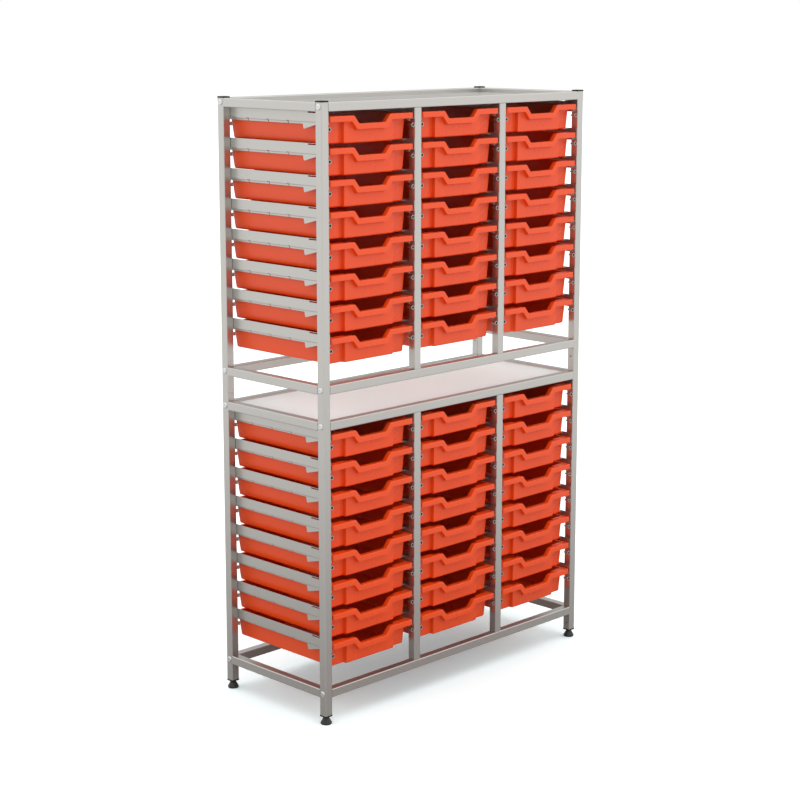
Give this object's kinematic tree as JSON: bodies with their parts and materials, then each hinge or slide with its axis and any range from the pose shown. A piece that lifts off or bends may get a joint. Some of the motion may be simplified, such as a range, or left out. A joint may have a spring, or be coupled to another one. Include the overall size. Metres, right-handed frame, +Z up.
{
  "type": "classroom tray storage unit",
  "caption": "Free-standing steel tube frame, in two stacked halves, with columns of shallow sliding moulded trays on pressed runners, and levelling feet.",
  "frame": {"origin": "on the floor under the middle of the unit", "axes": "+X to the right as seen from the front, +Y to the back, +Z up; the trays pull out along -Y"},
  "size_m": [1.0822, 0.435, 1.725],
  "materials": {
    "frame_paint": "satin powder coat, warm light grey",
    "runner_paint": "satin powder coat, warm light grey",
    "shelf_paint": "satin white powder coat",
    "top_paint": "satin powder coat, warm light grey",
    "tray_plastic": "semi-gloss moulded orange-red",
    "cap_plastic": "fine matte grain, black",
    "plug_plastic": "matte black",
    "bolt_steel": "bright zinc plate",
    "foot_plastic": "matte black"
  },
  "bodies": {
    "frame": {"side_frames": "frame_paint", "cross_frames": "frame_paint", "lower_shelf_panel": "shelf_paint", "upper_top_panel": "top_paint", "tray_runners": "runner_paint", "post_caps": "cap_plastic", "tube_plugs": "plug_plastic", "frame_bolts": "bolt_steel"},
    "tray_upper_left_1": {"tray_upper_left_1": "tray_plastic"},
    "tray_upper_left_2": {"tray_upper_left_2": "tray_plastic"},
    "tray_upper_left_3": {"tray_upper_left_3": "tray_plastic"},
    "tray_upper_left_4": {"tray_upper_left_4": "tray_plastic"},
    "tray_upper_left_5": {"tray_upper_left_5": "tray_plastic"},
    "tray_upper_left_6": {"tray_upper_left_6": "tray_plastic"},
    "tray_upper_left_7": {"tray_upper_left_7": "tray_plastic"},
    "tray_upper_left_8": {"tray_upper_left_8": "tray_plastic"},
    "tray_upper_middle_1": {"tray_upper_middle_1": "tray_plastic"},
    "tray_upper_middle_2": {"tray_upper_middle_2": "tray_plastic"},
    "tray_upper_middle_3": {"tray_upper_middle_3": "tray_plastic"},
    "tray_upper_middle_4": {"tray_upper_middle_4": "tray_plastic"},
    "tray_upper_middle_5": {"tray_upper_middle_5": "tray_plastic"},
    "tray_upper_middle_6": {"tray_upper_middle_6": "tray_plastic"},
    "tray_upper_middle_7": {"tray_upper_middle_7": "tray_plastic"},
    "tray_upper_middle_8": {"tray_upper_middle_8": "tray_plastic"},
    "tray_upper_right_1": {"tray_upper_right_1": "tray_plastic"},
    "tray_upper_right_2": {"tray_upper_right_2": "tray_plastic"},
    "tray_upper_right_3": {"tray_upper_right_3": "tray_plastic"},
    "tray_upper_right_4": {"tray_upper_right_4": "tray_plastic"},
    "tray_upper_right_5": {"tray_upper_right_5": "tray_plastic"},
    "tray_upper_right_6": {"tray_upper_right_6": "tray_plastic"},
    "tray_upper_right_7": {"tray_upper_right_7": "tray_plastic"},
    "tray_upper_right_8": {"tray_upper_right_8": "tray_plastic"},
    "tray_lower_left_1": {"tray_lower_left_1": "tray_plastic"},
    "tray_lower_left_2": {"tray_lower_left_2": "tray_plastic"},
    "tray_lower_left_3": {"tray_lower_left_3": "tray_plastic"},
    "tray_lower_left_4": {"tray_lower_left_4": "tray_plastic"},
    "tray_lower_left_5": {"tray_lower_left_5": "tray_plastic"},
    "tray_lower_left_6": {"tray_lower_left_6": "tray_plastic"},
    "tray_lower_left_7": {"tray_lower_left_7": "tray_plastic"},
    "tray_lower_left_8": {"tray_lower_left_8": "tray_plastic"},
    "tray_lower_middle_1": {"tray_lower_middle_1": "tray_plastic"},
    "tray_lower_middle_2": {"tray_lower_middle_2": "tray_plastic"},
    "tray_lower_middle_3": {"tray_lower_middle_3": "tray_plastic"},
    "tray_lower_middle_4": {"tray_lower_middle_4": "tray_plastic"},
    "tray_lower_middle_5": {"tray_lower_middle_5": "tray_plastic"},
    "tray_lower_middle_6": {"tray_lower_middle_6": "tray_plastic"},
    "tray_lower_middle_7": {"tray_lower_middle_7": "tray_plastic"},
    "tray_lower_middle_8": {"tray_lower_middle_8": "tray_plastic"},
    "tray_lower_right_1": {"tray_lower_right_1": "tray_plastic"},
    "tray_lower_right_2": {"tray_lower_right_2": "tray_plastic"},
    "tray_lower_right_3": {"tray_lower_right_3": "tray_plastic"},
    "tray_lower_right_4": {"tray_lower_right_4": "tray_plastic"},
    "tray_lower_right_5": {"tray_lower_right_5": "tray_plastic"},
    "tray_lower_right_6": {"tray_lower_right_6": "tray_plastic"},
    "tray_lower_right_7": {"tray_lower_right_7": "tray_plastic"},
    "tray_lower_right_8": {"tray_lower_right_8": "tray_plastic"},
    "foot_front_left": {"foot_front_left": "foot_plastic"},
    "foot_rear_left": {"foot_rear_left": "foot_plastic"},
    "foot_front_right": {"foot_front_right": "foot_plastic"},
    "foot_rear_right": {"foot_rear_right": "foot_plastic"}
  },
  "joints": [
    {"name": "tray_upper_left_1_slide", "type": "slide", "parent": "frame", "child": "tray_upper_left_1", "axis": [0, -1, 0], "range_m": [0, 0.43]},
    {"name": "tray_upper_left_2_slide", "type": "slide", "parent": "frame", "child": "tray_upper_left_2", "axis": [0, -1, 0], "range_m": [0, 0.43]},
    {"name": "tray_upper_left_3_slide", "type": "slide", "parent": "frame", "child": "tray_upper_left_3", "axis": [0, -1, 0], "range_m": [0, 0.43]},
    {"name": "tray_upper_left_4_slide", "type": "slide", "parent": "frame", "child": "tray_upper_left_4", "axis": [0, -1, 0], "range_m": [0, 0.43]},
    {"name": "tray_upper_left_5_slide", "type": "slide", "parent": "frame", "child": "tray_upper_left_5", "axis": [0, -1, 0], "range_m": [0, 0.43]},
    {"name": "tray_upper_left_6_slide", "type": "slide", "parent": "frame", "child": "tray_upper_left_6", "axis": [0, -1, 0], "range_m": [0, 0.43]},
    {"name": "tray_upper_left_7_slide", "type": "slide", "parent": "frame", "child": "tray_upper_left_7", "axis": [0, -1, 0], "range_m": [0, 0.43]},
    {"name": "tray_upper_left_8_slide", "type": "slide", "parent": "frame", "child": "tray_upper_left_8", "axis": [0, -1, 0], "range_m": [0, 0.43]},
    {"name": "tray_upper_middle_1_slide", "type": "slide", "parent": "frame", "child": "tray_upper_middle_1", "axis": [0, -1, 0], "range_m": [0, 0.43]},
    {"name": "tray_upper_middle_2_slide", "type": "slide", "parent": "frame", "child": "tray_upper_middle_2", "axis": [0, -1, 0], "range_m": [0, 0.43]},
    {"name": "tray_upper_middle_3_slide", "type": "slide", "parent": "frame", "child": "tray_upper_middle_3", "axis": [0, -1, 0], "range_m": [0, 0.43]},
    {"name": "tray_upper_middle_4_slide", "type": "slide", "parent": "frame", "child": "tray_upper_middle_4", "axis": [0, -1, 0], "range_m": [0, 0.43]},
    {"name": "tray_upper_middle_5_slide", "type": "slide", "parent": "frame", "child": "tray_upper_middle_5", "axis": [0, -1, 0], "range_m": [0, 0.43]},
    {"name": "tray_upper_middle_6_slide", "type": "slide", "parent": "frame", "child": "tray_upper_middle_6", "axis": [0, -1, 0], "range_m": [0, 0.43]},
    {"name": "tray_upper_middle_7_slide", "type": "slide", "parent": "frame", "child": "tray_upper_middle_7", "axis": [0, -1, 0], "range_m": [0, 0.43]},
    {"name": "tray_upper_middle_8_slide", "type": "slide", "parent": "frame", "child": "tray_upper_middle_8", "axis": [0, -1, 0], "range_m": [0, 0.43]},
    {"name": "tray_upper_right_1_slide", "type": "slide", "parent": "frame", "child": "tray_upper_right_1", "axis": [0, -1, 0], "range_m": [0, 0.43]},
    {"name": "tray_upper_right_2_slide", "type": "slide", "parent": "frame", "child": "tray_upper_right_2", "axis": [0, -1, 0], "range_m": [0, 0.43]},
    {"name": "tray_upper_right_3_slide", "type": "slide", "parent": "frame", "child": "tray_upper_right_3", "axis": [0, -1, 0], "range_m": [0, 0.43]},
    {"name": "tray_upper_right_4_slide", "type": "slide", "parent": "frame", "child": "tray_upper_right_4", "axis": [0, -1, 0], "range_m": [0, 0.43]},
    {"name": "tray_upper_right_5_slide", "type": "slide", "parent": "frame", "child": "tray_upper_right_5", "axis": [0, -1, 0], "range_m": [0, 0.43]},
    {"name": "tray_upper_right_6_slide", "type": "slide", "parent": "frame", "child": "tray_upper_right_6", "axis": [0, -1, 0], "range_m": [0, 0.43]},
    {"name": "tray_upper_right_7_slide", "type": "slide", "parent": "frame", "child": "tray_upper_right_7", "axis": [0, -1, 0], "range_m": [0, 0.43]},
    {"name": "tray_upper_right_8_slide", "type": "slide", "parent": "frame", "child": "tray_upper_right_8", "axis": [0, -1, 0], "range_m": [0, 0.43]},
    {"name": "tray_lower_left_1_slide", "type": "slide", "parent": "frame", "child": "tray_lower_left_1", "axis": [0, -1, 0], "range_m": [0, 0.43]},
    {"name": "tray_lower_left_2_slide", "type": "slide", "parent": "frame", "child": "tray_lower_left_2", "axis": [0, -1, 0], "range_m": [0, 0.43]},
    {"name": "tray_lower_left_3_slide", "type": "slide", "parent": "frame", "child": "tray_lower_left_3", "axis": [0, -1, 0], "range_m": [0, 0.43]},
    {"name": "tray_lower_left_4_slide", "type": "slide", "parent": "frame", "child": "tray_lower_left_4", "axis": [0, -1, 0], "range_m": [0, 0.43]},
    {"name": "tray_lower_left_5_slide", "type": "slide", "parent": "frame", "child": "tray_lower_left_5", "axis": [0, -1, 0], "range_m": [0, 0.43]},
    {"name": "tray_lower_left_6_slide", "type": "slide", "parent": "frame", "child": "tray_lower_left_6", "axis": [0, -1, 0], "range_m": [0, 0.43]},
    {"name": "tray_lower_left_7_slide", "type": "slide", "parent": "frame", "child": "tray_lower_left_7", "axis": [0, -1, 0], "range_m": [0, 0.43]},
    {"name": "tray_lower_left_8_slide", "type": "slide", "parent": "frame", "child": "tray_lower_left_8", "axis": [0, -1, 0], "range_m": [0, 0.43]},
    {"name": "tray_lower_middle_1_slide", "type": "slide", "parent": "frame", "child": "tray_lower_middle_1", "axis": [0, -1, 0], "range_m": [0, 0.43]},
    {"name": "tray_lower_middle_2_slide", "type": "slide", "parent": "frame", "child": "tray_lower_middle_2", "axis": [0, -1, 0], "range_m": [0, 0.43]},
    {"name": "tray_lower_middle_3_slide", "type": "slide", "parent": "frame", "child": "tray_lower_middle_3", "axis": [0, -1, 0], "range_m": [0, 0.43]},
    {"name": "tray_lower_middle_4_slide", "type": "slide", "parent": "frame", "child": "tray_lower_middle_4", "axis": [0, -1, 0], "range_m": [0, 0.43]},
    {"name": "tray_lower_middle_5_slide", "type": "slide", "parent": "frame", "child": "tray_lower_middle_5", "axis": [0, -1, 0], "range_m": [0, 0.43]},
    {"name": "tray_lower_middle_6_slide", "type": "slide", "parent": "frame", "child": "tray_lower_middle_6", "axis": [0, -1, 0], "range_m": [0, 0.43]},
    {"name": "tray_lower_middle_7_slide", "type": "slide", "parent": "frame", "child": "tray_lower_middle_7", "axis": [0, -1, 0], "range_m": [0, 0.43]},
    {"name": "tray_lower_middle_8_slide", "type": "slide", "parent": "frame", "child": "tray_lower_middle_8", "axis": [0, -1, 0], "range_m": [0, 0.43]},
    {"name": "tray_lower_right_1_slide", "type": "slide", "parent": "frame", "child": "tray_lower_right_1", "axis": [0, -1, 0], "range_m": [0, 0.43]},
    {"name": "tray_lower_right_2_slide", "type": "slide", "parent": "frame", "child": "tray_lower_right_2", "axis": [0, -1, 0], "range_m": [0, 0.43]},
    {"name": "tray_lower_right_3_slide", "type": "slide", "parent": "frame", "child": "tray_lower_right_3", "axis": [0, -1, 0], "range_m": [0, 0.43]},
    {"name": "tray_lower_right_4_slide", "type": "slide", "parent": "frame", "child": "tray_lower_right_4", "axis": [0, -1, 0], "range_m": [0, 0.43]},
    {"name": "tray_lower_right_5_slide", "type": "slide", "parent": "frame", "child": "tray_lower_right_5", "axis": [0, -1, 0], "range_m": [0, 0.43]},
    {"name": "tray_lower_right_6_slide", "type": "slide", "parent": "frame", "child": "tray_lower_right_6", "axis": [0, -1, 0], "range_m": [0, 0.43]},
    {"name": "tray_lower_right_7_slide", "type": "slide", "parent": "frame", "child": "tray_lower_right_7", "axis": [0, -1, 0], "range_m": [0, 0.43]},
    {"name": "tray_lower_right_8_slide", "type": "slide", "parent": "frame", "child": "tray_lower_right_8", "axis": [0, -1, 0], "range_m": [0, 0.43]},
    {"name": "foot_front_left_adjust", "type": "slide", "parent": "frame", "child": "foot_front_left", "axis": [0, 0, 1], "range_m": [-0.015, 0]},
    {"name": "foot_rear_left_adjust", "type": "slide", "parent": "frame", "child": "foot_rear_left", "axis": [0, 0, 1], "range_m": [-0.015, 0]},
    {"name": "foot_front_right_adjust", "type": "slide", "parent": "frame", "child": "foot_front_right", "axis": [0, 0, 1], "range_m": [-0.015, 0]},
    {"name": "foot_rear_right_adjust", "type": "slide", "parent": "frame", "child": "foot_rear_right", "axis": [0, 0, 1], "range_m": [-0.015, 0]}
  ]
}
